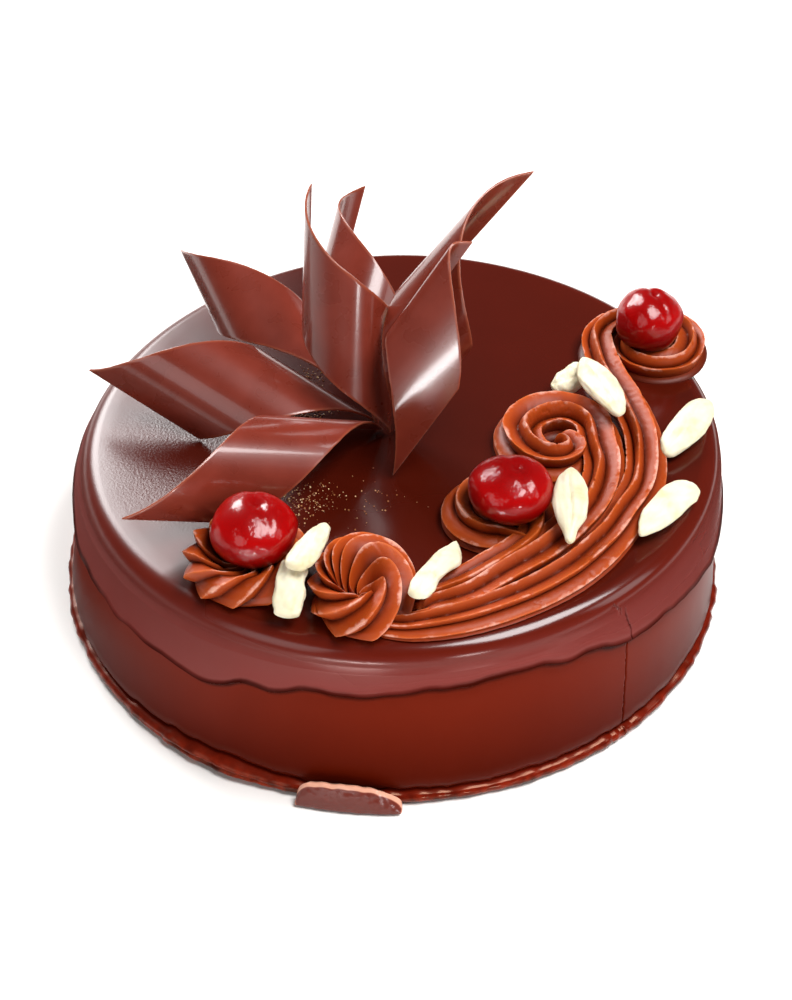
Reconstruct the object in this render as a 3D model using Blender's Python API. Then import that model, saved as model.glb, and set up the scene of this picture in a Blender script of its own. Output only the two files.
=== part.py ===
"""Glazed chocolate torte with curled chocolate petals, piped chocolate cream, glazed cherries and almonds.

The cake stands on z = 0 with its middle on the z axis. The front of the cake looks along -y.
"""

import math

import bpy
import bmesh
import numpy as np
from mathutils import Vector

MM = 0.001
GAP = 0.3 * MM

CAKE_RADIUS = 100 * MM
CAKE_TOP_RADIUS = 94.6 * MM
CAKE_HEIGHT = 51.5 * MM
EDGE_ROUND = 6 * MM
TOP_SHIFT_X = 2.3 * MM
TOP_SHIFT_Y = 1.0 * MM
RISE_X = 0.027
RISE_Y = -0.016
BACK_SWELL = 2.4 * MM
BACK_ANGLE = math.radians(98)
CAKE_SEGMENTS = 80
LEDGE_HEIGHT = 35.5 * MM
LEDGE_DEPTH = 0.7 * MM

PETAL_THICKNESS = 1.0 * MM
PETAL_STEPS_ROUND = 14

# Each petal: sheet size (straight side, slant, width and bend radius, mm), its middle (mm),
# the direction of its straight side and the way its bulging face looks.
PETALS = {
    "petal_left": ((39.3, 41.8, 46.4, 16.6), (-47.0, 1.6, 69.1), (-0.844, 0.432, 0.318), (0.022, -0.564, 0.825)),
    "petal_upper_left": ((38.8, 49.6, 44.0, 14.3), (-37.9, 28.7, 74.2), (-0.386, 0.878, 0.283), (-0.12, -0.352, 0.928)),
    "petal_middle": ((35.8, 36.6, 45.9, 13.3), (-16.1, 0.6, 90.9), (0.039, 0.336, 0.941), (-0.276, -0.901, 0.333)),
    "petal_lower_left": ((33.0, 50.5, 50.4, 16.2), (-32.2, -31.4, 71.8), (-0.913, -0.281, 0.296), (0.382, -0.337, 0.86)),
    "petal_back": ((35.3, 47.5, 53.1, 15.3), (-17.2, 35.9, 81.5), (0.233, 0.811, 0.536), (-0.599, -0.315, 0.736)),
    "petal_right": ((36.0, 49.3, 55.3, 13.4), (8.1, -1.1, 99.9), (0.599, 0.034, 0.8), (-0.622, -0.61, 0.491)),
}

# The front petal: flat in front with a tight curl behind. Its foot (mm) and the direction of its straight side,
# then, against the way round the bend (mm), the turn of its face and where its lower and upper edges run.
FRONT_FOOT = (0.8, -21.6, 54.0)
FRONT_ALONG = (0.535, 0.1, 0.839)
FRONT_FACE = (-0.274, -0.919, 0.284)
FRONT_TURN = ((0, 18), (12, 4), (20, -8), (24, -22), (25.5, -50), (27, -95), (29, -140), (32.5, -162))
FRONT_LOWER = ((0, -0.8), (3.8, 6.5), (7.6, 12.5), (15.2, 21.7), (22.8, 30), (26.6, 33.5), (32.5, 43))
FRONT_UPPER = ((0, 33.7), (1.9, 37.6), (3.8, 40.8), (7.6, 45.9), (15.2, 54.7), (26.6, 66.6), (32.5, 69.5))

ROSETTE_LOBES = 9

# Each cherry: its middle on the cake (mm), height of its middle above the top, half width and half height.
CHERRIES = {
    "cherry_left": ((-37.2, -58.4), 13.5, 12.3, 9.4),
    "cherry_middle": ((33.3, -44.2), 13.9, 12.0, 8.6),
    "cherry_right": ((78.5, 36.2), 13.0, 10.5, 9.4),
}

# Each almond: its two ends with their heights above the top, its width and its thickness, all in mm.
ALMONDS = {
    "almond_front_low": ((-27.8, -83.2, 4.6), (-26.0, -69.8, 11.2), 8.6, 4.5),
    "almond_front_high": ((-22.0, -73.5, 15.4), (-18.0, -57.0, 12.0), 8.0, 4.5),
    "almond_front_right": ((6.6, -86.2, 13.0), (18.0, -56.2, 5.2), 8.2, 4.5),
    "almond_middle": ((48.6, -63.0, 11.2), (50.4, -38.4, 15.9), 9.5, 5.0),
    "almond_back_left": ((49.4, 13.3, 3.8), (58.8, 17.0, 7.5), 9.0, 5.0),
    "almond_back_right": ((58.1, 18.3, 11.0), (65.2, -10.5, 13.5), 9.5, 5.0),
    "almond_right_back": ((79.6, -16.5, 2.9), (94.2, 7.1, 2.9), 10.5, 4.8),
    "almond_right_front": ((69.3, -53.4, 5.0), (84.4, -31.5, 2.9), 10.0, 4.8),
}

GLAZE = ("dark chocolate glaze", (0.115, 0.014, 0.008), 0.12)
PETAL_CHOCOLATE = ("milk chocolate", (0.19, 0.036, 0.022), 0.3)
CREAM = ("chocolate buttercream", (0.40, 0.105, 0.033), 0.5)
ALMOND = ("blanched almond", (0.86, 0.80, 0.60), 0.55)
CHERRY = ("glazed cherry", (0.50, 0.003, 0.003), 0.06)

UP = Vector((-RISE_X, -RISE_Y, 1)).normalized()


def on_top(x, y, above=0.0):
    """The point above (x, y) on the tilted top, lifted along the top's own normal."""
    return Vector((x, y, CAKE_HEIGHT + RISE_X * x + RISE_Y * y)) + UP * above


def make_material(spec):
    name, color, roughness = spec
    found = bpy.data.materials.get(name)
    if found:
        return found
    material = bpy.data.materials.new(name)
    material.use_nodes = True
    shader = material.node_tree.nodes["Principled BSDF"]
    shader.inputs["Base Color"].default_value = (*color, 1)
    shader.inputs["Roughness"].default_value = roughness
    shader.inputs["Metallic"].default_value = 0
    return material


def add_solid(name, points, faces, spec, sharp_above=40):
    """One closed body as a named object, with its normals turned outwards."""
    mesh = bpy.data.meshes.new(name)
    mesh.from_pydata([tuple(p) for p in points], [], faces)
    work = bmesh.new()
    work.from_mesh(mesh)
    bmesh.ops.recalc_face_normals(work, faces=work.faces)
    work.to_mesh(mesh)
    work.free()
    mesh.shade_smooth()
    mesh.set_sharp_from_angle(angle=math.radians(sharp_above))
    mesh.materials.append(make_material(spec))
    solid = bpy.data.objects.new(name, mesh)
    bpy.context.scene.collection.objects.link(solid)
    return solid


def stack_faces(rings, count):
    """Quads between rings of count points that follow each other, and a face over both ends."""
    faces = [tuple(reversed(range(count))), tuple(range((rings - 1) * count, rings * count))]
    for low in range(0, (rings - 1) * count, count):
        for i in range(count):
            j = (i + 1) % count
            faces.append((low + i, low + j, low + count + j, low + count + i))
    return faces


# Cake


def back_swell(angle):
    """The cake isn't quite round: its top reaches a little further back."""
    return BACK_SWELL * max(0.0, math.cos(angle - BACK_ANGLE)) ** 8


def wall_radius(z):
    return CAKE_RADIUS + (CAKE_TOP_RADIUS - CAKE_RADIUS) * z / CAKE_HEIGHT


def ledge_height(angle):
    """The glaze has run down to a wavy ledge round the side."""
    wave = 4.6 * math.cos(3 * (angle + math.radians(77))) + 0.9 * math.cos(10 * angle)
    return LEDGE_HEIGHT + wave * MM


def cake_ring(level, angle):
    """One point of the cake's outline: level runs from the foot, over the wall, to the top's flat."""
    ledge = ledge_height(angle)
    ragged = 0.3 * MM * (math.sin(23 * angle) + math.sin(37 * angle + 1))
    wall = {
        0: (wall_radius(0) - 0.9 * MM, 0.0),
        1: (wall_radius(0), 1.2 * MM),
        2: (wall_radius(0) - 0.5 * MM + ragged, 3.0 * MM + ragged),
        3: (wall_radius(0.004) - 1.2 * MM, 4.4 * MM + ragged),
        4: (wall_radius(0.02) - LEDGE_DEPTH / 2, 18 * MM),
        5: (wall_radius(ledge) - LEDGE_DEPTH / 2, ledge - 1.3 * MM),
        6: (wall_radius(ledge) + LEDGE_DEPTH / 2, ledge),
    }
    if level in wall:
        radius, z = wall[level]
        share = z / CAKE_HEIGHT
        radius += back_swell(angle) * share
        return Vector((radius * math.cos(angle) + TOP_SHIFT_X * share,
                       radius * math.sin(angle) + TOP_SHIFT_Y * share, z))
    bend = math.radians((level - 7) * 22.5)
    flat = CAKE_TOP_RADIUS - EDGE_ROUND + 0.3 * MM
    radius = flat + EDGE_ROUND * math.cos(bend) + back_swell(angle)
    x = radius * math.cos(angle) + TOP_SHIFT_X
    y = radius * math.sin(angle) + TOP_SHIFT_Y
    top = CAKE_HEIGHT + RISE_X * x + RISE_Y * y
    return Vector((x, y, top - EDGE_ROUND * (1 - math.sin(bend))))


def add_cake():
    levels = 12
    points = []
    for level in range(levels):
        for i in range(CAKE_SEGMENTS):
            points.append(cake_ring(level, 2 * math.pi * i / CAKE_SEGMENTS))
    add_solid("cake", points, stack_faces(levels, CAKE_SEGMENTS), GLAZE)


# Petals


def add_sheet(name, place, steps, rows):
    """A thin closed solid between two faces: place(s, t, offset) gives the point at shares s along and t round."""
    count = steps + 1
    points = []
    for offset in (PETAL_THICKNESS / 2, -PETAL_THICKNESS / 2):
        for j in range(rows + 1):
            for i in range(count):
                points.append(place(i / steps, j / rows, offset))
    sheet = (rows + 1) * count
    faces = []
    for j in range(rows):
        for i in range(steps):
            a, b = j * count + i, j * count + i + 1
            c, d = b + count, a + count
            for corners in ((a, b, c), (a, c, d)):
                faces.append(corners)
                faces.append(tuple(k + sheet for k in reversed(corners)))
    rim = list(range(count))
    rim += [j * count + steps for j in range(1, rows + 1)]
    rim += [rows * count + i for i in range(steps - 1, -1, -1)]
    rim += [j * count for j in range(rows - 1, 0, -1)]
    for a, b in zip(rim, rim[1:] + rim[:1]):
        faces.append((b, a, a + sheet, b + sheet))
    add_solid(name, points, faces, PETAL_CHOCOLATE)


def add_petal(name, size, middle, along, outward, start_along=0.0, start_round=0.0):
    """A slanted sheet bent evenly round a cylinder, less the share that the petals before it leave no room for."""
    straight, slant, width, radius = (value * MM for value in size)
    middle = Vector(middle) * MM
    axis = Vector(along).normalized()
    out = Vector(outward)
    out = (out - axis * out.dot(axis)).normalized()
    side = axis.cross(out)

    def place(s, t, offset):
        s = start_along + (1 - start_along) * s
        t = start_round + (1 - start_round) * t
        turn = width * (t - 0.5) / radius
        far = radius + offset
        return (middle + out * (far * math.cos(turn) - radius) - side * (far * math.sin(turn))
                + axis * (straight * (s - 0.5) + slant * (t - 0.5)))

    add_sheet(name, place, 3, PETAL_STEPS_ROUND)


def add_front_petal():
    axis = Vector(FRONT_ALONG).normalized()
    face = Vector(FRONT_FACE)
    face = (face - axis * face.dot(axis)).normalized()
    right = axis.cross(face)
    width = FRONT_TURN[-1][0]
    fine = 240
    turn = np.radians(np.interp(np.linspace(0, width, fine + 1), *zip(*FRONT_TURN)))
    walk = [Vector(FRONT_FOOT) * MM]
    for k in range(fine):
        middle = (turn[k] + turn[k + 1]) / 2
        walk.append(walk[-1] + (face * math.sin(middle) - right * math.cos(middle)) * (width * MM / fine))

    def place(s, t, offset):
        k = round(t * fine)
        low = np.interp(t * width, *zip(*FRONT_LOWER)) * MM
        high = np.interp(t * width, *zip(*FRONT_UPPER)) * MM
        looks = face * math.cos(turn[k]) + right * math.sin(turn[k])
        return walk[k] + axis * (low + (high - low) * s) + looks * offset

    add_sheet("petal_front", place, 3, 24)


def add_petals():
    for name, (size, middle, along, outward) in PETALS.items():
        if name == "petal_upper_left":
            add_petal(name, size, middle, along, outward, 0.1, 0.18)
        else:
            add_petal(name, size, middle, along, outward)
    add_front_petal()


# Piped cream


def smooth_path(corners, count):
    """count points at equal spacing along a rounded path through the corners."""
    corners = np.array(corners, float)
    padded = np.vstack([2 * corners[0] - corners[1], corners, 2 * corners[-1] - corners[-2]])
    fine = []
    for k in range(len(corners) - 1):
        before, here, after, later = padded[k:k + 4]
        for u in np.linspace(0, 1, 12, endpoint=False):
            fine.append(0.5 * (2 * here + (after - before) * u
                               + (2 * before - 5 * here + 4 * after - later) * u ** 2
                               + (3 * here - before - 3 * after + later) * u ** 3))
    fine.append(corners[-1])
    fine = np.array(fine)
    length = np.concatenate([[0], np.cumsum(np.linalg.norm(np.diff(fine, axis=0), axis=1))])
    wanted = np.linspace(0, length[-1], count)
    return np.stack([np.interp(wanted, length, fine[:, c]) for c in range(fine.shape[1])], 1)


def coil(middle, radii, angles, count):
    """Points round a middle while the radius and the angle run between two values."""
    shares = np.linspace(0, 1, count)
    radius = radii[0] + (radii[1] - radii[0]) * shares
    angle = np.radians(angles[0] + (angles[1] - angles[0]) * shares)
    return [(middle[0] + r * math.cos(a), middle[1] + r * math.sin(a)) for r, a in zip(radius, angle)]


def add_strand(name, path, sizes, stations, ridges=5):
    """A ribbon from a star nozzle along a path in mm on the top.

    sizes holds (share of the length, half width, height), both in mm.
    """
    line = smooth_path(path, stations)
    shares, halves, heights = zip(*sizes)
    share = np.linspace(0, 1, stations)
    half = np.interp(share, shares, halves) * MM
    high = np.interp(share, shares, heights) * MM
    heading = np.gradient(line, axis=0)
    last = 2 * ridges
    points = []
    for k in range(stations):
        ahead = Vector((*heading[k], 0)).normalized()
        across = ahead.cross(UP).normalized()
        base = on_top(line[k][0] * MM, line[k][1] * MM, GAP)
        for i in range(last + 1):
            turn = math.pi * i / last
            flute = 1.0 if i % 2 or i in (0, last) else 0.84
            reach = math.copysign(abs(math.cos(turn)) ** 0.8, math.cos(turn)) * flute
            points.append(base + across * (half[k] * reach) + UP * (high[k] * math.sin(turn) ** 0.7 * flute))
    add_solid(name, points, stack_faces(stations, last + 1), CREAM, 60)


def add_garland():
    outer = coil((79.5, 36.5), (4.5, 11.5), (-250, -50), 7)
    outer += coil((79.5, 36.5), (11.5, 12.4), (-20, 80), 4)
    outer += coil((79.5, 36.5), (13.0, 15.8), (105, 178), 4)
    outer += [(64.3, 27.5), (66.4, 17.5), (70.3, 5.7), (72.8, -7.3), (73.0, -20.2), (70.8, -31.4), (64.8, -43.4)]
    outer += [(57.2, -55.9), (48.8, -65.2), (38.7, -72.8), (27.7, -79.2), (18.0, -82.9), (10.5, -84.3)]
    add_strand("garland_outer", outer,
               ((0, 2.0, 2.6), (0.06, 3.0, 3.4), (0.14, 5.0, 6.2), (0.28, 5.2, 8.0), (0.4, 5.6, 8.2), (0.5, 5.2, 7.2),
                (0.65, 5.2, 6.8), (0.8, 5.4, 6.4), (0.93, 4.4, 5.6), (1, 3.4, 4.5)), 64)
    swirl = coil((48, -8.8), (3.6, 5.0), (50, -20), 4)
    swirl += coil((48, -8.8), (6.6, 12.0), (-45, -140), 4)
    swirl += coil((48, -8.8), (12.4, 12.8), (-165, -350), 8)
    swirl += [(60.4, -16.5), (60.0, -24.5), (57.2, -35.0), (50.8, -45.2), (44.6, -54.0)]
    add_strand("garland_swirl", swirl,
               ((0, 2.2, 5.0), (0.08, 2.6, 7.0), (0.2, 4.6, 8.8), (0.4, 5.6, 9.5), (0.62, 5.6, 9.5), (0.74, 5.4, 8.5),
                (0.84, 4.2, 7.0), (0.92, 2.5, 6.0), (1, 1.3, 4.5)), 50)
    inner = coil((29.5, -41), (8.6, 10.3), (-88, -350), 10)
    inner += [(40.6, -46.0), (39.4, -51.8), (35.4, -57.6), (27.5, -64.8), (19.5, -70.8), (11.5, -75.0)]
    add_strand("garland_inner", inner,
               ((0, 3.0, 4.0), (0.2, 4.2, 6.0), (0.45, 4.4, 5.4), (0.6, 4.0, 6.5), (0.75, 4.8, 6.5), (0.9, 4.2, 5.5),
                (1, 3.2, 4.5)), 40)


def add_rosette(name, middle, radii, profile, twist):
    """A star-nozzle rosette: profile holds (share of the radii, height in mm) from the foot to the eye."""
    per_lobe = 4
    count = ROSETTE_LOBES * per_lobe
    points = []
    for level, (share, height) in enumerate(profile):
        for i in range(count):
            depth = (-1.0, 0.45, 1.0, 0.45)[i % per_lobe]
            angle = 2 * math.pi * i / count + math.radians(twist) * level / (len(profile) - 1)
            reach = share * (1 + 0.085 * depth) * MM
            lift = GAP if level == 0 else (height + 0.7 * depth * share) * MM
            points.append(on_top(middle[0] * MM + radii[0] * reach * math.cos(angle),
                                 middle[1] * MM + radii[1] * reach * math.sin(angle), lift))
    add_solid(name, points, stack_faces(len(profile), count), CREAM, 60)


# Cherries and almonds


def add_cherry(name, middle, lift, half_width, half_height):
    around, rows = 20, 10
    points = []
    for row in range(1, rows):
        tilt = math.pi * row / rows
        for i in range(around):
            angle = 2 * math.pi * i / around
            swell = 1 + 0.02 * math.cos(2 * angle + 0.6) + 0.015 * math.cos(3 * angle)
            reach = half_width * math.sin(tilt) * swell * MM
            points.append(on_top(middle[0] * MM + reach * math.cos(angle), middle[1] * MM + reach * math.sin(angle),
                                 (lift - half_height * math.cos(tilt)) * MM))
    add_solid(name, points, stack_faces(rows - 1, around), CHERRY)


def add_almond(name, low, high, width, thickness):
    """A pointed, slightly flat almond that lies from one end to the other."""
    around, rows = 10, 9
    start = on_top(low[0] * MM, low[1] * MM, low[2] * MM)
    end = on_top(high[0] * MM, high[1] * MM, high[2] * MM)
    ahead = (end - start).normalized()
    across = ahead.cross(UP).normalized()
    above = across.cross(ahead)
    points = []
    for row in range(rows):
        share = 0.03 + 0.94 * row / (rows - 1)
        swell = math.sin(math.pi * share) ** 0.7 * (0.85 + 0.3 * (1 - share))
        for i in range(around):
            angle = 2 * math.pi * i / around
            points.append(start.lerp(end, share) + across * (width / 2 * MM * swell * math.cos(angle))
                          + above * (thickness / 2 * MM * swell * math.sin(angle)))
    add_solid(name, points, stack_faces(rows, around), ALMOND)


for leftover in list(bpy.data.objects):
    bpy.data.objects.remove(leftover, do_unlink=True)

add_cake()
add_petals()
add_garland()
add_rosette("rosette_front", (-7.8, -72.0), (13.4, 17.6),
            ((0.93, 0), (1.0, 2.5), (0.94, 5.5), (0.8, 8.0), (0.62, 9.8), (0.42, 10.8), (0.2, 10.4)), 150)
add_rosette("rosette_left", (-40.0, -60.2), (15.9, 15.9),
            ((0.93, 0), (1.0, 2.0), (0.93, 4.4), (0.82, 5.6), (0.66, 5.0), (0.45, 3.0), (0.2, 2.2)), 90)
for name, (middle, lift, half_width, half_height) in CHERRIES.items():
    add_cherry(name, middle, lift, half_width, half_height)
for name, (low, high, width, thickness) in ALMONDS.items():
    add_almond(name, low, high, width, thickness)
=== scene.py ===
import math

import bpy
import numpy as np
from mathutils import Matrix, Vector, noise


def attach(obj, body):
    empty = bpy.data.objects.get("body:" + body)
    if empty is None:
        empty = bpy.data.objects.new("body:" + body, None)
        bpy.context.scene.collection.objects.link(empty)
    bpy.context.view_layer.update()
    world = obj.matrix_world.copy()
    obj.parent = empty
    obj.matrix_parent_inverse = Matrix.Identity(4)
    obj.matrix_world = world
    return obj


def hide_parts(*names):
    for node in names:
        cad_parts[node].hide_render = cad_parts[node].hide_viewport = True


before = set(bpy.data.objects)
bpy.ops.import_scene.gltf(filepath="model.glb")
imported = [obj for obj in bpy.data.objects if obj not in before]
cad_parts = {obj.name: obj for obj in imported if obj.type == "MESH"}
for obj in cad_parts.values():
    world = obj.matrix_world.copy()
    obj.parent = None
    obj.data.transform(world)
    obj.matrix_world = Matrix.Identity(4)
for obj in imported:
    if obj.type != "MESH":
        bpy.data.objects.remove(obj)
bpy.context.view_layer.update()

mm = 0.001

cake = {
    "radius": 100 * mm,
    "topRadius": 94.6 * mm,
    "height": 51.5 * mm,
    "edgeRound": 6 * mm,
    "topShift": (2.3 * mm, 1.0 * mm),
    "rise": (0.027, -0.016),  # the top isn't quite level
}
topNormal = np.array((-cake["rise"][0], -cake["rise"][1], 1.0))
topNormal /= np.linalg.norm(topNormal)


def onTop(x, y, above=0.0):
    # points above (x, y) on the tilted top, in metres; takes single numbers or arrays
    x, y, above = np.broadcast_arrays(np.asarray(x, float), y, above)
    z = cake["height"] + cake["rise"][0] * x + cake["rise"][1] * y
    return np.stack([x, y, z], -1) + above[..., None] * topNormal


def unit(v):
    v = np.asarray(v, float)
    return v / np.linalg.norm(v, axis=-1, keepdims=True)


def lumps(points, size, seed=0.0):
    # smooth noise between about -1 and 1 with lumps of that size in metres
    step = np.asarray(points) / size + seed
    return np.array([noise.noise(Vector(p)) for p in step.reshape(-1, 3)]).reshape(step.shape[:-1])


def ramp(x, low, high):
    t = np.clip((np.asarray(x, float) - low) / (high - low), 0, 1)
    return t * t * (3 - 2 * t)


def smoothed(values, window, **padding):
    # a running mean over an odd number of values
    padded = np.pad(values, window // 2, **padding)
    return np.convolve(padded, np.ones(window) / window, "valid")


def smoothSizes(v, shares, values):
    # reads sizes given at shares of a length, with their corners rounded
    fine = np.linspace(0, 1, 200)
    return np.interp(v, fine, smoothed(np.interp(fine, shares, values), 15, mode="edge"))


def smoothTable(x, pairs):
    # reads a table of pairs with its corners rounded and its ends kept
    fine = np.linspace(0, pairs[-1][0], 200)
    values = smoothed(np.interp(fine, *zip(*pairs)), 17, mode="reflect", reflect_type="odd")
    return np.interp(x, fine, values)


def pieceName(node):
    # petal_left becomes petalLeft
    first, *others = node.split("_")
    return first + "".join(word.capitalize() for word in others)


# Making and finishing meshes


def selectOnly(piece):
    bpy.ops.object.select_all(action="DESELECT")
    bpy.context.view_layer.objects.active = piece
    piece.select_set(True)


def shapedGrid(name, columns, rows, place, marks=None, merge=True):
    # a grid primitive whose points go to place(u, v); marks(u, v) gives named values for the material
    bpy.ops.object.select_all(action="DESELECT")
    bpy.ops.mesh.primitive_grid_add(x_subdivisions=columns, y_subdivisions=rows, size=2,
                                    location=(0, 0, 0))
    piece = bpy.context.active_object
    piece.name = piece.data.name = name
    mesh = piece.data
    flat = np.empty(len(mesh.vertices) * 3, np.float32)
    mesh.vertices.foreach_get("co", flat)
    flat = flat.reshape(-1, 3)
    u, v = (flat[:, 0] + 1) / 2, (flat[:, 1] + 1) / 2
    mesh.vertices.foreach_set("co", np.asarray(place(u, v), np.float32).ravel())
    for key, values in (marks(u, v) if marks else {}).items():
        layer = mesh.attributes.new(key, "FLOAT", "POINT")
        layer.data.foreach_set("value", np.asarray(values, np.float32))
    mesh.update()
    if merge:
        closeUp(piece)
    return piece


def unitSphere(name, segments, rings):
    # a sphere primitive to be shaped
    bpy.ops.object.select_all(action="DESELECT")
    bpy.ops.mesh.primitive_uv_sphere_add(segments=segments, ring_count=rings, radius=1,
                                         location=(0, 0, 0))
    piece = bpy.context.active_object
    piece.name = piece.data.name = name
    return piece


def closeUp(piece):
    # merges seams and poles and turns the faces outwards
    selectOnly(piece)
    bpy.ops.object.mode_set(mode="EDIT")
    bpy.ops.mesh.select_all(action="SELECT")
    bpy.ops.mesh.remove_doubles(threshold=0.00001)
    bpy.ops.mesh.normals_make_consistent(inside=False)
    bpy.ops.object.mode_set(mode="OBJECT")


def addModifier(piece, kind, **settings):
    selectOnly(piece)
    modifier = piece.modifiers.new(kind.lower(), kind)
    for key, value in settings.items():
        setattr(modifier, key, value)
    bpy.ops.object.modifier_apply(modifier=modifier.name)


def movePoints(piece, change):
    # change takes and returns an array of points
    mesh = piece.data
    points = np.empty(len(mesh.vertices) * 3, np.float32)
    mesh.vertices.foreach_get("co", points)
    mesh.vertices.foreach_set("co", np.asarray(change(points.reshape(-1, 3)), np.float32).ravel())
    mesh.update()


def dress(piece, material, nodes=(), smooth=40):
    # finishes a piece: shading, material, the body it rides on and the nodes it stands for
    selectOnly(piece)
    bpy.ops.object.shade_smooth_by_angle(angle=math.radians(smooth))
    piece.data.materials.clear()
    piece.data.materials.append(material)
    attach(piece, "root")
    if nodes:
        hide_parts(*nodes)
    return piece


# Materials


def colour(code):
    # sRGB hex to linear
    parts = [int(code[i:i + 2], 16) / 255 for i in (1, 3, 5)]
    return [c / 12.92 if c <= 0.04045 else ((c + 0.055) / 1.055) ** 2.4 for c in parts] + [1.0]


def newMaterial(name, sockets):
    material = bpy.data.materials.new(name)
    material.use_nodes = True
    shader = material.node_tree.nodes["Principled BSDF"]
    for key, value in sockets.items():
        shader.inputs[key].default_value = value
    return material, material.node_tree, shader


def connect(tree, node, links):
    # links give (node, output) by input
    for key, (source, output) in links.items():
        tree.links.new(source.outputs[output], node.inputs[key])


def addNode(tree, kind, settings=None, inputs=None, links=None):
    # one node: settings are its properties, inputs its values and links (node, output) by input
    node = tree.nodes.new(kind)
    for key, value in (settings or {}).items():
        setattr(node, key, value)
    for key, value in (inputs or {}).items():
        node.inputs[key].default_value = value
    connect(tree, node, links or {})
    return node


def setStops(node, stops):
    # colour stops as (place, hex or grey value)
    band = node.color_ramp
    while len(band.elements) < len(stops):
        band.elements.new(0.5)
    for element, (place, value) in zip(band.elements, stops):
        element.position = place
        element.color = colour(value) if isinstance(value, str) else (value, value, value, 1)


def makeGlaze():
    # poured dark chocolate glaze: deep brown on the top, with a painted pinker reflection on the upper wall
    # and a painted shadow under the ledge's lip, satin and finely pitted on the left of the top, torn and
    # redder where it ran out at the foot
    look = {
        "pit": 0.7 * mm,
        "cloud": 26 * mm,
        "torn": 3 * mm,
        "satinX": (-10 * mm, -60 * mm),  # where the satin starts and where it is full
        "pittedAt": (-58 * mm, -12 * mm, 50 * mm),
        "pittedReach": (36 * mm, 8 * mm),
    }
    material, tree, shader = newMaterial("pouredChocolateGlaze", {"IOR": 1.46})
    place = addNode(tree, "ShaderNodeTexCoord")
    zone = addNode(tree, "ShaderNodeAttribute", {"attribute_name": "zone"})
    cloud = addNode(tree, "ShaderNodeTexNoise", inputs={"Scale": 1 / look["cloud"], "Detail": 2.0},
                    links={"Vector": (place, "Object")})
    drift = addNode(tree, "ShaderNodeMath", {"operation": "MULTIPLY_ADD"}, {1: 0.06, 2: -0.03},
                    {0: (cloud, "Fac")})
    level = addNode(tree, "ShaderNodeMath", {"operation": "ADD"},
                    links={0: (drift, "Value"), 1: (zone, "Fac")})
    # zone: 0 foot, 0.25 under the ledge, 0.5 over it, 0.75 round the edge, 1 top
    # the dark stops at 0.4 and 0.45 paint the shadow under the ledge's lip, and the pinker stops at 0.48 and
    # 0.64 paint the reflection on the upper wall
    skin = addNode(tree, "ShaderNodeValToRGB", links={"Fac": (level, "Value")})
    setStops(skin, ((0.03, "#7a1a0c"), (0.12, "#4e0f03"), (0.36, "#701f0e"), (0.4, "#2c0602"),
                    (0.45, "#340803"), (0.48, "#78302b"), (0.64, "#702b26"), (0.78, "#571408"),
                    (1.0, "#3b0c04")))
    torn = addNode(tree, "ShaderNodeTexNoise", inputs={"Scale": 1 / look["torn"], "Detail": 4.0},
                   links={"Vector": (place, "Object")})
    redder = addNode(tree, "ShaderNodeValToRGB", links={"Fac": (torn, "Fac")})
    setStops(redder, ((0.38, "#3a0a04"), (0.66, "#86240e")))
    foot = addNode(tree, "ShaderNodeMapRange",
                   inputs={"From Min": 0.04, "From Max": 0.09, "To Min": 1, "To Max": 0},
                   links={"Value": (zone, "Fac")})
    body = addNode(tree, "ShaderNodeMix", {"data_type": "RGBA"}, None,
                   {"Factor": (foot, "Result"), "A": (skin, "Color"), "B": (redder, "Color")})
    # the satin patch, widest at the left edge, and a duller wall
    axes = addNode(tree, "ShaderNodeSeparateXYZ", links={"Vector": (place, "Object")})
    left = addNode(tree, "ShaderNodeMapRange",
                   inputs={"From Min": look["satinX"][0], "From Max": look["satinX"][1]},
                   links={"Value": (axes, "X")})
    rough = addNode(tree, "ShaderNodeMapRange", inputs={"To Min": 0.16, "To Max": 0.3},
                    links={"Value": (left, "Result")})
    side = addNode(tree, "ShaderNodeValToRGB", links={"Fac": (zone, "Fac")})
    setStops(side, ((0.06, 0.0), (0.12, 0.14), (0.5, 0.12), (0.66, 0.1), (0.78, 0.0)))
    dull = addNode(tree, "ShaderNodeMath", {"operation": "ADD"},
                   links={0: (side, "Color"), 1: (rough, "Result")})
    shine = addNode(tree, "ShaderNodeValToRGB", links={"Fac": (zone, "Fac")})
    setStops(shine, ((0.08, 0.45), (0.14, 0.05), (0.4, 0.1), (0.48, 0.3), (0.66, 0.4), (0.8, 0.5)))
    warm = addNode(tree, "ShaderNodeValToRGB", links={"Fac": (zone, "Fac")})
    setStops(warm, ((0.08, "#f0c0a0"), (0.14, "#a85a38"), (0.4, "#a85a38"), (0.5, "#e4b4b0"),
                    (0.7, "#f0cfca"), (0.8, "#ffffff")))
    # pits, deepest in the patch between the left petals
    patch = addNode(tree, "ShaderNodeVectorMath", {"operation": "DISTANCE"}, {1: look["pittedAt"]},
                    {0: (place, "Object")})
    near = addNode(tree, "ShaderNodeMapRange",
                   inputs={"From Min": look["pittedReach"][0], "From Max": look["pittedReach"][1]},
                   links={"Value": (patch, "Value")})
    pit = addNode(tree, "ShaderNodeTexNoise", inputs={"Scale": 1 / look["pit"], "Detail": 2.0},
                  links={"Vector": (place, "Object")})
    grain = addNode(tree, "ShaderNodeMath", {"operation": "MULTIPLY"},
                    links={0: (pit, "Fac"), 1: (near, "Result")})
    swell = addNode(tree, "ShaderNodeMath", {"operation": "MULTIPLY_ADD"}, {1: 1.5},
                    {0: (cloud, "Fac"), 2: (grain, "Value")})
    bump = addNode(tree, "ShaderNodeBump", inputs={"Strength": 0.7, "Distance": 0.16 * mm},
                   links={"Height": (swell, "Value")})
    connect(tree, shader, {"Base Color": (body, "Result"), "Roughness": (dull, "Value"),
                           "Specular IOR Level": (shine, "Color"), "Specular Tint": (warm, "Color"),
                           "Normal": (bump, "Normal")})
    return material


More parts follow.
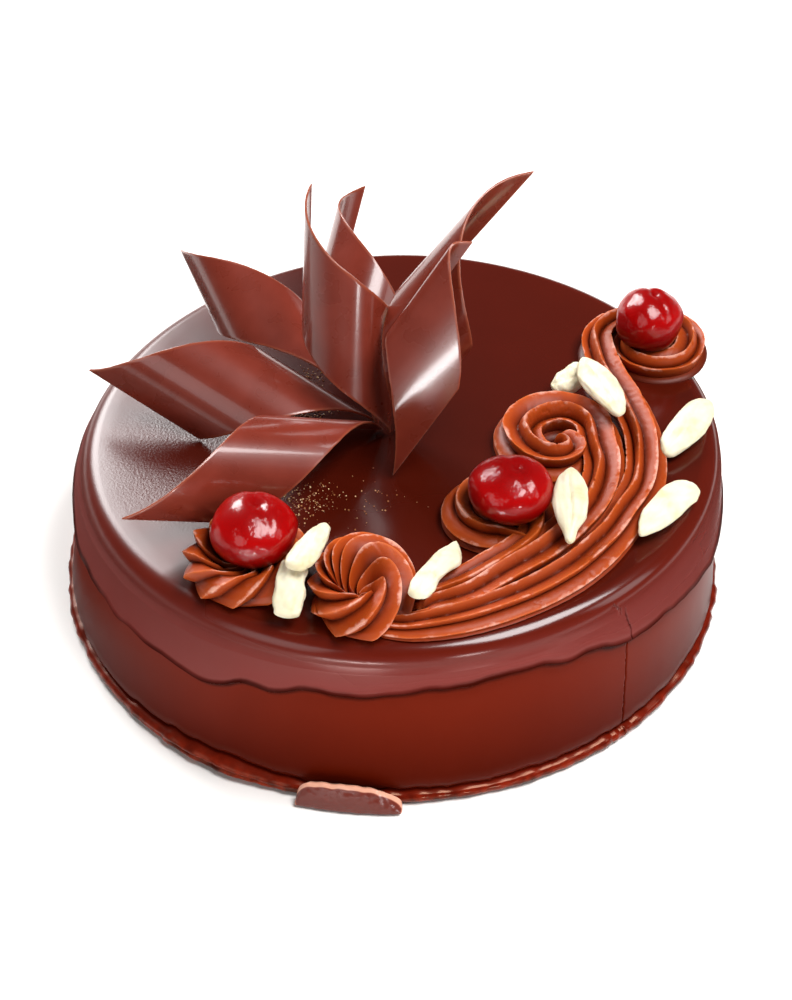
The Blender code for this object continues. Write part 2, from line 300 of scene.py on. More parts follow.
def makePetalChocolate():
    # tempered chocolate cast on film: a satin face with faint lines along the bend, and cut edges painted
    # paler as light catching them
    look = {"line": 0.9 * mm, "mottle": 9 * mm}
    material, tree, shader = newMaterial("temperedMilkChocolate", {
        "IOR": 1.46, "Specular IOR Level": 0.4, "Coat Weight": 0.5, "Coat Roughness": 0.1})
    place = addNode(tree, "ShaderNodeTexCoord")
    rim = addNode(tree, "ShaderNodeAttribute", {"attribute_name": "rim"})
    mottle = addNode(tree, "ShaderNodeTexNoise", inputs={"Scale": 1 / look["mottle"], "Detail": 3.0},
                     links={"Vector": (place, "Object")})
    face = addNode(tree, "ShaderNodeValToRGB", links={"Fac": (mottle, "Fac")})
    setStops(face, ((0.3, "#6a2518"), (0.7, "#742b1e")))
    # the paler colour along the rim is a painted highlight on the cut edges
    edge = addNode(tree, "ShaderNodeMix", {"data_type": "RGBA"}, {"B": colour("#8e4630")},
                   {"Factor": (rim, "Fac"), "A": (face, "Color")})
    across = addNode(tree, "ShaderNodeAttribute", {"attribute_name": "alongBend"})
    lines = addNode(tree, "ShaderNodeTexNoise", {"noise_dimensions": "1D"},
                    {"Scale": 1 / look["line"], "Detail": 2.0}, {"W": (across, "Fac")})
    shine = addNode(tree, "ShaderNodeMapRange", inputs={"To Min": 0.24, "To Max": 0.32},
                    links={"Value": (mottle, "Fac")})
    bump = addNode(tree, "ShaderNodeBump", inputs={"Strength": 0.1, "Distance": 0.05 * mm},
                   links={"Height": (lines, "Fac")})
    connect(tree, shader, {"Base Color": (edge, "Result"), "Roughness": (shine, "Result"),
                           "Normal": (bump, "Normal")})
    return material


def makeCream():
    # piped chocolate buttercream: soft and half matt, painted darker in its valleys as shade and paler on
    # the thin lips that the nozzle's teeth left as light, with painted pale highlights on those lips, and
    # fine pits where it tore
    look = {"pit": 0.5 * mm, "frost": 7 * mm}
    material, tree, shader = newMaterial("chocolateButtercream", {
        "IOR": 1.45, "Specular IOR Level": 0.22, "Subsurface Weight": 0.12,
        "Subsurface Radius": (1.0, 0.35, 0.2), "Subsurface Scale": 1.2 * mm})
    place = addNode(tree, "ShaderNodeTexCoord")
    ridge = addNode(tree, "ShaderNodeAttribute", {"attribute_name": "ridge"})
    # painted shade in the valleys (ridge 0) and painted light on the lips (ridge 1)
    tone = addNode(tree, "ShaderNodeValToRGB", links={"Fac": (ridge, "Fac")})
    setStops(tone, ((0.0, "#4e1404"), (0.35, "#88300c"), (0.85, "#a24112"), (1.0, "#bc5a28")))
    # the pale patches on the lips are a painted highlight
    frost = addNode(tree, "ShaderNodeTexNoise",
                    inputs={"Scale": 1 / look["frost"], "Detail": 5.0, "Roughness": 0.65},
                    links={"Vector": (place, "Object")})
    paintedLipHighlight = addNode(tree, "ShaderNodeMath", {"operation": "MULTIPLY"},
                     links={0: (frost, "Fac"), 1: (ridge, "Fac")})
    lipHighlightMask = addNode(tree, "ShaderNodeMapRange", inputs={"From Min": 0.45, "From Max": 0.58, "To Max": 0.7},
                   links={"Value": (paintedLipHighlight, "Value")})
    skin = addNode(tree, "ShaderNodeMix", {"data_type": "RGBA"}, {"B": colour("#dca796")},
                   {"Factor": (lipHighlightMask, "Result"), "A": (tone, "Color")})
    pit = addNode(tree, "ShaderNodeTexNoise", inputs={"Scale": 1 / look["pit"], "Detail": 3.0},
                  links={"Vector": (place, "Object")})
    shine = addNode(tree, "ShaderNodeMapRange", inputs={"To Min": 0.34, "To Max": 0.5},
                    links={"Value": (pit, "Fac")})
    bump = addNode(tree, "ShaderNodeBump", inputs={"Strength": 0.22, "Distance": 0.12 * mm},
                   links={"Height": (pit, "Fac")})
    connect(tree, shader, {"Base Color": (skin, "Result"), "Roughness": (shine, "Result"),
                           "Normal": (bump, "Normal")})
    return material


def makeCherry():
    # glazed cherry: red flesh under a wet coat of clear syrup, whose slack skin breaks the lights into
    # small crisp flecks; the flesh is painted darker towards the bottom as shade and brightest three
    # quarters of the way up as a painted glow
    look = {"ripple": 1.9 * mm}
    material, tree, shader = newMaterial("glazedCherry", {
        "IOR": 1.4, "Roughness": 0.35, "Specular IOR Level": 0.1, "Subsurface Weight": 0.4,
        "Subsurface Radius": (1.0, 0.05, 0.03), "Subsurface Scale": 3 * mm,
        "Coat Weight": 0.6, "Coat Roughness": 0.02})
    height = addNode(tree, "ShaderNodeAttribute", {"attribute_name": "height"})
    # height runs from 0 at the bottom to 1 at the top: the dark stops below paint shade, the brightest stop
    # paints a glow
    tone = addNode(tree, "ShaderNodeValToRGB", links={"Fac": (height, "Fac")})
    setStops(tone, ((0.0, "#260001"), (0.4, "#700001"), (0.75, "#9c0001"), (1.0, "#7e0001")))
    place = addNode(tree, "ShaderNodeTexCoord")
    ripple = addNode(tree, "ShaderNodeTexNoise", inputs={"Scale": 1 / look["ripple"], "Detail": 3.0},
                     links={"Vector": (place, "Object")})
    bump = addNode(tree, "ShaderNodeBump", inputs={"Strength": 0.6, "Distance": 0.4 * mm},
                   links={"Height": (ripple, "Fac")})
    connect(tree, shader, {"Base Color": (tone, "Color"), "Coat Normal": (bump, "Normal")})
    return material


def makeAlmond():
    # blanched almond: pale, dull and dense, with creamy blots and a faint fibrous grain
    look = {"fibre": 1.4 * mm, "blot": 6 * mm}
    material, tree, shader = newMaterial("blanchedAlmond", {
        "IOR": 1.45, "Roughness": 0.5, "Subsurface Weight": 0.25,
        "Subsurface Radius": (1.0, 0.7, 0.4), "Subsurface Scale": 1.2 * mm})
    place = addNode(tree, "ShaderNodeTexCoord")
    blot = addNode(tree, "ShaderNodeTexNoise", inputs={"Scale": 1 / look["blot"], "Detail": 3.0},
                   links={"Vector": (place, "Object")})
    tone = addNode(tree, "ShaderNodeValToRGB", links={"Fac": (blot, "Fac")})
    setStops(tone, ((0.28, "#cdc096"), (0.45, "#dad1b2"), (0.75, "#e4dcc6")))
    fibre = addNode(tree, "ShaderNodeTexNoise", inputs={"Scale": 1 / look["fibre"], "Detail": 2.0},
                    links={"Vector": (place, "Object")})
    bump = addNode(tree, "ShaderNodeBump", inputs={"Strength": 0.25, "Distance": 0.2 * mm},
                   links={"Height": (fibre, "Fac")})
    connect(tree, shader, {"Base Color": (tone, "Color"), "Normal": (bump, "Normal")})
    return material


def makeBrokenGlaze():
    # broken glaze: shiny outside, with the paler pink-brown of its thickness along the break
    material, tree, shader = newMaterial("brokenGlaze", {"IOR": 1.46, "Roughness": 0.22})
    rim = addNode(tree, "ShaderNodeAttribute", {"attribute_name": "rim"})
    tone = addNode(tree, "ShaderNodeValToRGB", links={"Fac": (rim, "Fac")})
    setStops(tone, ((0.0, "#6a2a20"), (0.4, "#8a4234"), (1.0, "#e2a48a")))
    connect(tree, shader, {"Base Color": (tone, "Color")})
    return material


def makeCocoaDust():
    # cocoa and sugar dust: dry grains that catch the light
    material, tree, shader = newMaterial("cocoaSugarDust", {"Roughness": 0.35})
    grain = addNode(tree, "ShaderNodeAttribute", {"attribute_name": "grain"})
    tone = addNode(tree, "ShaderNodeValToRGB", links={"Fac": (grain, "Fac")})
    setStops(tone, ((0.0, "#6a3018"), (0.5, "#b27844"), (1.0, "#f0d2a0")))
    connect(tree, shader, {"Base Color": (tone, "Color")})
    return material


glaze = makeGlaze()
petalChocolate = makePetalChocolate()
cream = makeCream()
cherryRed = makeCherry()
almondPale = makeAlmond()
brokenGlaze = makeBrokenGlaze()
cocoaDust = makeCocoaDust()
print("materials ready")

# Cake with its poured glaze

coat = {
    "columns": 360,
    # each zone's rings of points, and the material's zone value at its start and end
    "rings": {"under": (4, 0, 0), "foot": (16, 0, 0.08), "lower": (34, 0.1, 0.36), "lip": (16, 0.38, 0.5),
              "upper": (18, 0.5, 0.66), "round": (12, 0.68, 0.9), "flat": (22, 0.92, 1)},
    "crackColumns": 56,
    "crackSpan": (-52.0, -46.0),  # degrees
    "crackAt": ((-50.8, 51.0), (-48.6, 47.5), (-47.3, 40.0), (-47.6, 22.0), (-48.4, 3.0)),  # degrees, mm
    "crackReach": (1 * mm, 51.4 * mm),
    "crackWidth": 0.28 * mm,
    "crackDepth": 0.9 * mm,
    "crackJag": 0.5 * mm,
    "ledge": 35.5 * mm,
    "ledgeStep": 1.5 * mm,
    "lipHalf": 2.2 * mm,
    "footHeight": 3.6 * mm,
    "footInset": 1.2 * mm,
    "footPool": 2.4 * mm,
    "footPinch": 0.7 * mm,
    "messyFoot": (-120, 13),  # degrees: middle and half width
    "swell": 2.4 * mm,
    "swellAt": 98,
}


def wallRadius(z):
    return cake["radius"] + (cake["topRadius"] - cake["radius"]) * z / cake["height"]


def backSwell(angle):
    # the cake isn't quite round: its top reaches a little further back
    return coat["swell"] * np.clip(np.cos(angle - math.radians(coat["swellAt"])), 0, 1) ** 8


def ledgeHeight(angle):
    wave = 4.6 * np.cos(3 * (angle + math.radians(77))) + 0.9 * np.cos(10 * angle)
    return coat["ledge"] + wave * mm


def coatAngles():
    # even round the cake, with extra columns where the crack runs
    even = np.linspace(-math.pi, math.pi, coat["columns"], endpoint=False)
    low, high = np.radians(coat["crackSpan"])
    clear = 0.004  # radians between the even columns and the extra ones
    extra = np.linspace(low, high, coat["crackColumns"])
    return np.sort(np.concatenate([even[(even < low - clear) | (even > high + clear)], extra]))


def coatLevels():
    # (zone, share) pairs from the middle of the underside to the middle of the top
    levels = [(zone, k / ring[0]) for zone, ring in coat["rings"].items() for k in range(ring[0])]
    return levels + [("flat", 1.0)]


def wallPoint(zone, share, angle, waves):
    # radius and height for one zone of the outline; waves are noises round the cake
    ledge = ledgeHeight(angle) + waves["ledge"] * mm
    step, lip, inset = coat["ledgeStep"], coat["lipHalf"], coat["footInset"]
    messy = np.exp(-((np.degrees(angle) - coat["messyFoot"][0]) / coat["messyFoot"][1]) ** 2)
    footTop = coat["footHeight"] + (waves["foot"] + 1.8 * messy) * mm
    if zone == "under":
        return share * (wallRadius(0) - inset) + 0 * angle, 0 * angle
    if zone == "foot":
        out = math.sin(share * math.pi)
        bulge = coat["footPool"] * (0.62 + 0.3 * waves["foot"] + 0.75 * messy) * out ** 0.6
        pinch = coat["footPinch"] * messy * np.exp(-((share - 0.55) / 0.09) ** 2)
        fine = (0.1 + 0.45 * messy) * waves["fine"] * out * mm
        return wallRadius(0) - inset + bulge - pinch + fine, footTop * share
    if zone == "lower":
        z = footTop + (ledge - lip - footTop) * share
        return wallRadius(z) - (inset * (1 - ramp(share, 0, 0.06)) + step / 2), z
    if zone == "lip":
        z = ledge + lip * (2 * share - 1)
        out = step * (ramp(share, 0.43, 0.51) + 0.4 * np.exp(-((share - 0.57) / 0.1) ** 2))
        return wallRadius(z) - step / 2 + out, z
    # the upper wall ends just below the rolled edge
    z = ledge + lip + (cake["height"] - cake["edgeRound"] - 1 * mm - ledge - lip) * share
    return wallRadius(z) + step / 2 * (1 - 0.6 * share), z


def wallRing(angles, radius, z):
    tilt = z / cake["height"]
    radius = radius + backSwell(angles) * tilt
    x = radius * np.cos(angles) + cake["topShift"][0] * tilt
    y = radius * np.sin(angles) + cake["topShift"][1] * tilt
    # the wall leans over to meet the tilted edge
    top = cake["rise"][0] * x + cake["rise"][1] * y
    return np.stack([x, y, z + top * ramp(tilt, 0.3, 0.88) * 0.9], -1)


def topRing(angles, radius, lift):
    x = radius * np.cos(angles) + cake["topShift"][0]
    y = radius * np.sin(angles) + cake["topShift"][1]
    return onTop(x, y) + np.array((0, 0, lift))


def coatPlace(u, v):
    levels = coatLevels()
    angles = coatAngles()
    column = np.rint(u * len(angles)).astype(int) % len(angles)
    level = np.rint(v * (len(levels) - 1)).astype(int)
    ring = np.stack([np.cos(angles), np.sin(angles), 0 * angles], -1) * cake["radius"]
    waves = {
        "ledge": 2.6 * lumps(ring, 13 * mm, 3.0) + 0.5 * lumps(ring, 5 * mm, 5.0),
        "foot": lumps(ring, 6 * mm, 9.0) + 0.6 * lumps(ring, 2.4 * mm, 1.0),
        "fine": lumps(ring, 1.8 * mm, 2.0),
    }
    edge = cake["edgeRound"]
    flat = cake["topRadius"] - edge + 0.3 * mm
    table = np.empty((len(levels), len(angles), 3))
    for k, (zone, share) in enumerate(levels):
        if zone == "round":
            bend = share * math.pi / 2
            radius = flat + edge * math.cos(bend) + backSwell(angles)
            table[k] = topRing(angles, radius, -edge * (1 - math.sin(bend)))
        elif zone == "flat":
            table[k] = topRing(angles, (flat + backSwell(angles)) * (1 - share), 0.0)
        else:
            table[k] = wallRing(angles, *wallPoint(zone, share, angles, waves))
    return table[level, column]


def cutCrack(points):
    # a fine jagged split in the glaze, from the top's edge to the foot
    away, heights = np.array(coat["crackAt"]).T
    angle = np.arctan2(points[:, 1], points[:, 0])
    z = points[:, 2]
    centre = np.radians(np.interp(z, heights[::-1] * mm, away[::-1]))
    jag = coat["crackJag"] * lumps(np.stack([0 * z, 0 * z, z], -1), 1.6 * mm, 4.0) / cake["radius"]
    gap = np.abs(angle - centre - jag) * cake["radius"]
    low, high = coat["crackReach"]
    near = (z > low) & (z < high) & (np.hypot(points[:, 0], points[:, 1]) > 0.8 * cake["radius"])
    depth = coat["crackDepth"] * np.clip(1 - gap / coat["crackWidth"], 0, 1) * near
    outward = unit(np.stack([points[:, 0], points[:, 1], 0 * z], -1) + 1e-12)
    return points - outward * depth[:, None]


def coatMarks(u, v):
    table = []
    for zone, share in coatLevels():
        start, end = coat["rings"][zone][1:]
        table.append(start + (end - start) * share)
    return {"zone": np.array(table)[np.rint(v * (len(table) - 1)).astype(int)]}


def makeCoat():
    piece = shapedGrid("cakeGlaze", len(coatAngles()), len(coatLevels()) - 1, coatPlace, coatMarks)
    movePoints(piece, cutCrack)
    return dress(piece, glaze, ["cake"], 50)


makeCoat()
print("cake glazed")

# A flake of glaze that broke off the foot and curls outwards

chip = {
    "from": -104.8,  # degrees
    "to": -88.6,
    "across": 80,
    "up": 24,
    "peak": 0.4,  # share of its length where it is highest
    "blunt": 4.0,
    "slope": 2.2,
    "thick": 1.0 * mm,
    "height": 7.0 * mm,
    "foot": 0.8 * mm,
    "clear": 1.2 * mm,
    "out": 2.6 * mm,
    "rim": 0.9 * mm,
    "rimFade": 0.4 * mm,
    "bevel": 0.25 * mm,
    "ragged": 0.9 * mm,
    "lumpy": 0.12 * mm,
}


def chipHeight(u):
    # a blunt left end, and a long slope down to the right
    peak = chip["peak"]
    away = np.where(u < peak, (peak - u) / peak, (u - peak) / (1 - peak))
    outline = np.sqrt(np.clip(1 - away ** np.where(u < peak, chip["blunt"], chip["slope"]), 0, 1))
    ragged = chip["ragged"] * lumps(np.stack([u * 30 * mm, 0 * u, 0 * u], -1), 4 * mm, 6.0)
    return chip["foot"] + (chip["height"] + ragged) * outline


def chipPlace(u, v):
    # it stands like a skirt before the wall, with its broken edge on top
    angle = np.radians(chip["from"] + (chip["to"] - chip["from"]) * u)
    radius = cake["radius"] + chip["clear"] + chip["out"] * (1 - v ** 1.6)
    return np.stack([radius * np.cos(angle), radius * np.sin(angle), chip["foot"] + chipHeight(u) * v], -1)


def chipMarks(u, v):
    # rim: 1 along the broken edge, 0 below it
    return {"rim": 1 - ramp((1 - v) * chipHeight(u), chip["rim"], chip["rim"] + chip["rimFade"])}


def makeChip():
    piece = shapedGrid("glazeChip", chip["across"], chip["up"], chipPlace, chipMarks, merge=False)
    addModifier(piece, "SOLIDIFY", thickness=chip["thick"], offset=0)
    addModifier(piece, "BEVEL", width=chip["bevel"], segments=2, limit_method="ANGLE")
    closeUp(piece)
    movePoints(piece, lambda p: p + (chip["lumpy"] * lumps(p, 1.5 * mm, 8.0))[:, None] * unit(p))
    return dress(piece, brokenGlaze)


makeChip()
print("chip at the foot")

# Chocolate petals, each a slanted piece of sheet bent round a cylinder

sheet = {
    "across": 88,
    "along": 30,
    "thick": 0.65 * mm,
    "rim": 0.45 * mm,
    "ragged": 0.22 * mm,
    "bevel": 0.16 * mm,
}
petals = {
    # size: straight side, slant, width and bend radius in mm; along runs down the straight side
    "petal_left": {
        "size": (39.3, 41.8, 46.4, 16.6), "middle": (-47.0, 1.6, 69.1),
        "along": (-0.844, 0.432, 0.318), "outward": (0.022, -0.564, 0.825)},
    "petal_upper_left": {
        "size": (38.8, 49.6, 44.0, 14.3), "middle": (-37.9, 28.7, 74.2),
        "along": (-0.386, 0.878, 0.283), "outward": (-0.12, -0.352, 0.928),
        "startAlong": 0.1, "startRound": 0.18},
    "petal_middle": {
        "size": (35.8, 36.6, 45.9, 13.3), "middle": (-16.1, 0.6, 90.9),
        "along": (0.039, 0.336, 0.941), "outward": (-0.276, -0.901, 0.333)},
    "petal_lower_left": {
        "size": (33.0, 50.5, 50.4, 16.2), "middle": (-32.2, -31.4, 71.8),
        "along": (-0.913, -0.281, 0.296), "outward": (0.382, -0.337, 0.86)},
    "petal_back": {
        "size": (35.3, 47.5, 53.1, 15.3), "middle": (-17.2, 35.9, 81.5),
        "along": (0.233, 0.811, 0.536), "outward": (-0.599, -0.315, 0.736)},
    "petal_right": {
        "size": (36.0, 49.3, 55.3, 13.4), "middle": (8.1, -1.1, 99.9),
        "along": (0.599, 0.034, 0.8), "outward": (-0.622, -0.61, 0.491)},
}
front = {
    # the front petal's bend changes on the way: turn gives mm across and degrees, lower and upper its edges
    "foot": (0.8, -21.6, 54.0),
    "along": (0.535, 0.1, 0.839),
    "face": (-0.274, -0.919, 0.284),
    "length": 30 * mm,
    "turn": ((0, 18), (12, 4), (20, -8), (24, -22), (25.5, -50), (27, -95), (29, -140), (32.5, -162)),
    "lower": ((0, -0.8), (3.8, 6.5), (7.6, 12.5), (15.2, 21.7), (22.8, 30), (26.6, 33.5), (32.5, 43)),
    "upper": ((0, 33.7), (1.9, 37.6), (3.8, 40.8), (7.6, 45.9), (15.2, 54.7), (26.6, 66.6), (32.5, 69.5)),
}


def petalMarks(length, width):
    def marks(u, v):
        edge = np.minimum(np.minimum(u, 1 - u) * width, np.minimum(v, 1 - v) * length)
        # rim marks the cut edges, where the material paints a highlight
        return {"rim": 1 - ramp(edge, 0, sheet["rim"]), "alongBend": u * width}
    return marks


def raggedEdge(points, v, along, seed):
    # the sheet was cut by hand, so its edges wander a little
    drift = sheet["ragged"] * (lumps(points, 7 * mm, seed) + 0.5 * lumps(points, 2.2 * mm, seed + 5))
    ends = ramp(np.abs(v - 0.5), 0.42, 0.5) * np.sign(v - 0.5)
    return points + (drift * ends)[:, None] * along


def finishPetal(node, place, marks):
    piece = shapedGrid(pieceName(node), sheet["across"], sheet["along"], place, marks, merge=False)
    addModifier(piece, "SOLIDIFY", thickness=sheet["thick"], offset=0)
    addModifier(piece, "BEVEL", width=sheet["bevel"], segments=2, limit_method="ANGLE",
                angle_limit=math.radians(50))
    closeUp(piece)
    return dress(piece, petalChocolate, [node], 60)


def makePetal(node, size, middle, along, outward, startAlong=0.0, startRound=0.0):
    # a start above 0 leaves out that share of the petal, which the others hide
    straight, slant, width, radius = (value * mm for value in size)
    axis = unit(along)
    out = unit(np.array(outward) - axis * np.dot(axis, outward))
    side = np.cross(axis, out)

    def place(u, v):
        t = startRound + (1 - startRound) * u
        s = startAlong + (1 - startAlong) * v
        turn = (width * (t - 0.5) / radius)[:, None]
        bent = out * (radius * np.cos(turn) - radius) - side * (radius * np.sin(turn))
        slid = axis * (straight * (s - 0.5) + slant * (t - 0.5))[:, None]
        return raggedEdge(np.array(middle) * mm + bent + slid, v, axis, straight * 100)

    return finishPetal(node, place, petalMarks(straight * (1 - startAlong), width * (1 - startRound)))


def makeFrontPetal():
    # walks across the sheet in fine steps that turn with the bend
    axis = unit(front["along"])
    face = np.array(front["face"])
    face = unit(face - axis * face.dot(axis))
    right = np.cross(axis, face)
    width = front["turn"][-1][0]
    fine = 480
    turn = np.radians(np.interp(np.linspace(0, width, fine + 1), *zip(*front["turn"])))
    turn = smoothed(turn, 25, mode="edge")
    half = ((turn[1:] + turn[:-1]) / 2)[:, None]
    steps = (face * np.sin(half) - right * np.cos(half)) * (width * mm / fine)
    walk = np.array(front["foot"]) * mm + np.concatenate([np.zeros((1, 3)), np.cumsum(steps, axis=0)])

    def place(u, v):
        k = np.rint(u * fine).astype(int)
        low = smoothTable(u * width, front["lower"]) * mm
        high = smoothTable(u * width, front["upper"]) * mm
        points = walk[k] + axis * (low + (high - low) * v)[:, None]
        return raggedEdge(points, v, axis, 3.0)

    return finishPetal("petal_front", place, petalMarks(front["length"], width * mm))


for node, petal in petals.items():
    makePetal(node, **petal)
makeFrontPetal()
print("petals bent")

# Piped cream

piping = {
    "depth": 0.4,
    "lip": 0.76,  # share of a ridge that its long flank takes
    "arch": 0.86,  # share of the way round that isn't the underside
    "tear": 0.09 * mm,
    "around": 96,
    "rosetteGrid": (400, 100),
    "lift": 0.1 * mm,
    "seed": 12,
}


def blade(phase):
    # one ridge between two valleys: a long smooth flank up to a thin lip, then a short steep drop
    up = np.clip(phase / piping["lip"], 0, 1)
    down = np.clip((1 - phase) / (1 - piping["lip"]), 0, 1)
    return np.where(phase < piping["lip"], up ** 1.1, down ** 0.7)


def coil(middle, radii, angles, count):
    shares = np.linspace(0, 1, count)
    radius = radii[0] + (radii[1] - radii[0]) * shares
    angle = np.radians(angles[0] + (angles[1] - angles[0]) * shares)
    return [(middle[0] + r * math.cos(a), middle[1] + r * math.sin(a)) for r, a in zip(radius, angle)]


def smoothPath(corners, count):
    # even points along a rounded path through the corners
    corners = np.array(corners, float)
    padded = np.vstack([2 * corners[0] - corners[1], corners, 2 * corners[-1] - corners[-2]])
    fine = []
    for k in range(len(corners) - 1):
        before, here, after, later = padded[k:k + 4]
        for t in np.linspace(0, 1, 24, endpoint=False):
            fine.append(0.5 * (2 * here + (after - before) * t
                               + (2 * before - 5 * here + 4 * after - later) * t ** 2
                               + (3 * here - before - 3 * after + later) * t ** 3))
    fine = np.array(fine + [corners[-1]])
    length = np.concatenate([[0], np.cumsum(np.linalg.norm(np.diff(fine, axis=0), axis=1))])
    wanted = np.linspace(0, length[-1], count)
    return np.stack([np.interp(wanted, length, fine[:, c]) for c in range(2)], 1) * mm


def makeGarland(node, path, sizes, stations, ridges):
    # a rope from a star nozzle laid along a path in mm; sizes holds (share, half width, height) in mm
    line = smoothPath(path, stations + 1)
    shares, halves, heights = (np.array(column) for column in zip(*sizes))
    heading = np.gradient(line, axis=0)
    ahead = unit(np.column_stack([heading, np.zeros(len(heading))]))
    across = unit(np.cross(ahead, topNormal))
    total = np.linalg.norm(np.diff(line, axis=0), axis=1).sum()
    seed = piping["seed"]

    def ridgeHeight(u, v):
        # the ridges drift a little from side to side, and their lips are finely torn here and there
        turn = np.clip(u / piping["arch"], 0, 1)
        way = np.stack([turn * 20 * mm, v * total, 0 * u], -1)
        wander = 0.06 * lumps(way * (0.2, 1, 1), 16 * mm, seed)
        phase = ridges * np.clip(turn + wander * np.sin(np.pi * turn), 0, 1)
        torn = ramp(lumps(way, 10 * mm, 2.0), 0.15, 0.4) * ramp(lumps(way, 1.3 * mm, 7.0), 0.1, 0.5)
        return blade(phase % 1) * (1 - 0.14 * torn)

    def place(u, v):
        k = np.rint(v * stations).astype(int)
        half = smoothSizes(v, shares, halves) * mm
        high = smoothSizes(v, shares, heights) * mm
        # both ends are drawn out to a rounded tip
        near = np.minimum(v, 1 - v) * total
        tip = np.sqrt(np.clip(1 - (1 - np.clip(near / (half * 0.9), 0, 1)) ** 2, 0, 1))
        arch = np.clip(u / piping["arch"], 0, 1)
        under = np.clip((u - piping["arch"]) / (1 - piping["arch"]), 0, 1)
        turn = np.pi * arch
        base = onTop(line[k][:, 0], line[k][:, 1], piping["lift"])
        section = np.stack([half * np.cos(turn), 0 * u, high * np.sin(turn)], -1)
        pits = lumps(base + section, 1.6 * mm, seed)
        valley = (1 - ridgeHeight(u, v)) * ramp(arch, 0, 0.04) * ramp(arch, 1, 0.96)
        reach = 1.06 - piping["depth"] * valley + pits * piping["tear"] / (half + 1e-9) * ramp(arch, 0, 0.05)
        # the underside runs back across the cake
        below = under > 0
        side = np.where(below, 2 * under - 1, reach * np.sign(np.cos(turn)) * np.abs(np.cos(turn)) ** 0.85)
        up = np.where(below, 0, reach * np.abs(np.sin(turn)) ** 0.75)
        return base + across[k] * (half * side * tip)[:, None] + topNormal * (high * up * tip)[:, None]

    piece = shapedGrid(pieceName(node), piping["around"], stations, place,
                       lambda u, v: {"ridge": ridgeHeight(u, v)})
    return dress(piece, cream, [node], 40)


rightEye = (79.5, 36.5)
garlands = {
    "garland_outer": {
        "path": coil(rightEye, (4.5, 11.5), (-250, -50), 7) + coil(rightEye, (11.5, 12.4), (-20, 80), 4)
        + coil(rightEye, (13.0, 15.8), (105, 178), 4)
        + [(64.3, 27.5), (66.4, 17.5), (70.3, 5.7), (72.8, -7.3), (73.0, -20.2), (70.8, -31.4),
           (64.8, -43.4), (57.2, -55.9), (48.8, -65.2), (38.7, -72.8), (27.7, -79.2), (16.0, -83.6),
           (5.0, -85.4), (-4.0, -84.0)],
        "sizes": ((0, 4.6, 7.0), (0.06, 5.0, 7.0), (0.14, 5.6, 7.4), (0.28, 5.8, 8.4), (0.4, 6.2, 8.4),
                  (0.5, 6.0, 7.4), (0.65, 6.2, 7.2), (0.8, 6.8, 6.8), (0.92, 5.4, 6.0), (1, 3.4, 4.0)),
        "stations": 520, "ridges": 4},
    "garland_swirl": {
        "path": [(47.4, -9.4), (51.2, -12.6), (52.4, -17.0), (49.2, -20.6), (43.6, -20.2), (38.9, -15.4)]
        + coil((48, -9), (10.8, 12.0), (-185, -350), 8)
        + [(60.6, -16.0), (61.0, -25.0), (58.6, -36.5), (52.0, -48.5), (43.0, -59.0), (32.0, -68.0),
           (21.0, -75.5), (8.0, -79.5)],
        "sizes": ((0, 3.4, 6.6), (0.04, 5.2, 8.8), (0.08, 6.4, 9.8), (0.14, 6.8, 9.8), (0.28, 7.6, 9.6),
                  (0.36, 6.6, 9.4), (0.5, 6.6, 9.2), (0.62, 7.4, 8.8), (0.76, 8.0, 8.2), (0.9, 7.2, 7.2),
                  (1, 5.0, 5.2)),
        "stations": 480, "ridges": 4},
    "garland_inner": {
        "path": [(38.5, -51.0), (34.5, -50.8)] + coil((29.5, -41), (8.6, 10.3), (-84, -350), 10)
        + [(40.4, -46.0), (39.2, -52.2), (34.8, -58.2), (27.0, -64.6), (18.0, -70.6), (4.0, -76.0)],
        "sizes": ((0, 4.6, 5.4), (0.08, 6.2, 7.2), (0.2, 6.2, 8.8), (0.45, 5.8, 8.0), (0.6, 5.4, 6.8),
                  (0.75, 5.8, 6.8), (0.9, 5.2, 5.8), (1, 3.8, 4.6)),
        "stations": 360, "ridges": 3},
}
for node, garland in garlands.items():
    makeGarland(node, **garland)
print("garland piped")

rosettes = {
    # outline: share of the way from the foot to the eye, share of the radii, height in mm
    "rosette_front": {
        "middle": (-7.8, -72.2), "radii": (14.0, 18.4), "lobes": 9, "winding": (3.7, 0.5),
        "eye": (-1.0, -2.6), "scallop": 0.22, "ridge": 2.8,
        "outline": ((0, 0.86, 0), (0.08, 0.98, 1.6), (0.2, 1.0, 4.2), (0.34, 0.93, 7.4), (0.47, 0.8, 10.0),
                    (0.58, 0.67, 11.6), (0.66, 0.56, 12.0), (0.73, 0.46, 10.8), (0.8, 0.36, 7.4),
                    (0.89, 0.24, 4.4), (1, 0.02, 3.0))},
    "rosette_left": {
        "middle": (-39.8, -60.4), "radii": (17.0, 16.8), "lobes": 11, "winding": (2.0, 0.2),
        "eye": (0, 0), "scallop": 0.17, "ridge": 2.2,
        "outline": ((0, 0.86, 0), (0.1, 0.98, 1.8), (0.24, 1.0, 5.0), (0.4, 0.93, 8.2), (0.56, 0.78, 9.8),
                    (0.7, 0.6, 8.0), (0.85, 0.35, 5.0), (1, 0.02, 3.5))},
}


